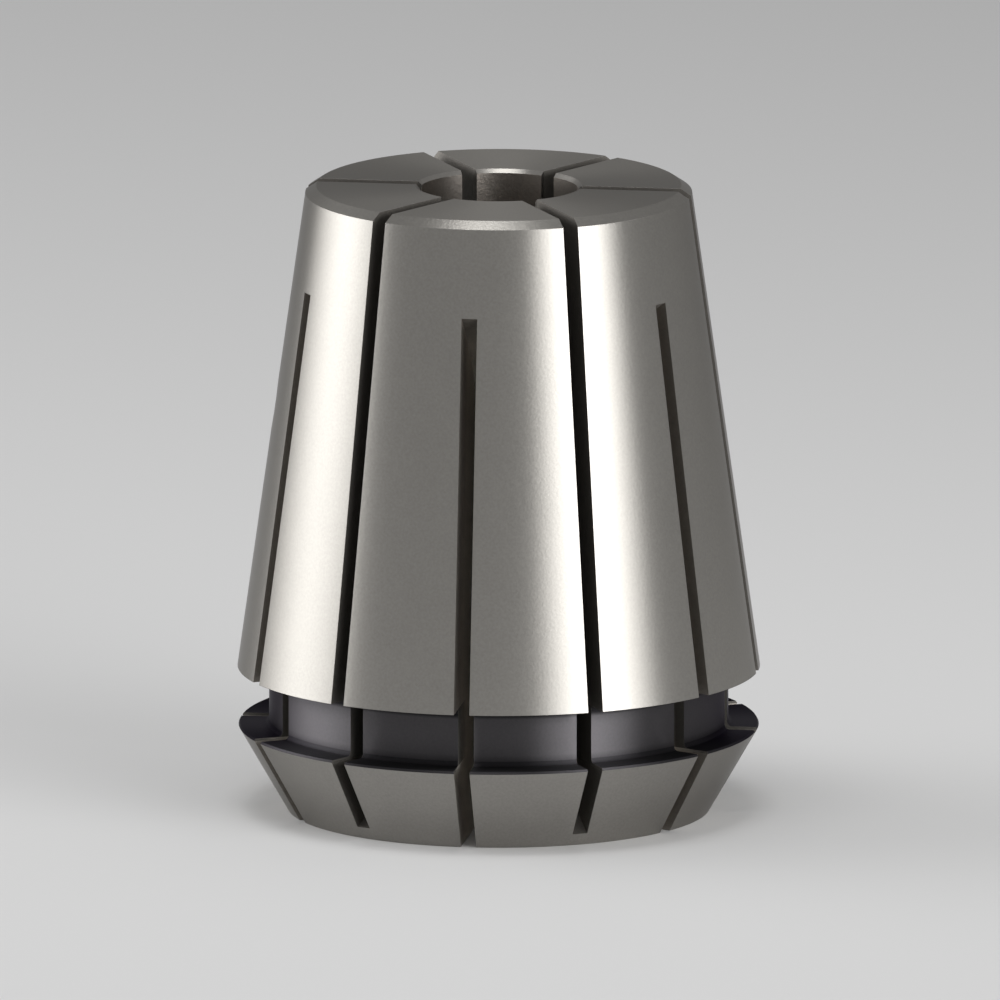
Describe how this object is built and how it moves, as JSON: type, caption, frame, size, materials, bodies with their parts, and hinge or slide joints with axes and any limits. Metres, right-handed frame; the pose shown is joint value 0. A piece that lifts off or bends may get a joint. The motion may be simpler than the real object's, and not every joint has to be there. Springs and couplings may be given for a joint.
{
  "type": "er collet",
  "caption": "Tapered spring collet with interleaved saw slots, a nut groove and a through clamping bore, which grips a round tool shank.",
  "frame": {"origin": "centre of the front face, the end that the nut presses and the shank enters", "axes": "+Z along the bore axis, from the front face to the narrow rear face; +X midway between two neighbouring slots, one open at each end"},
  "size_m": [0.033, 0.033, 0.04],
  "materials": {
    "ground_steel": "fine-ground spring steel, blackened in the nut groove and dark on the slot walls"
  },
  "bodies": {
    "root": {"collet_body": "ground_steel"}
  },
  "joints": []
}
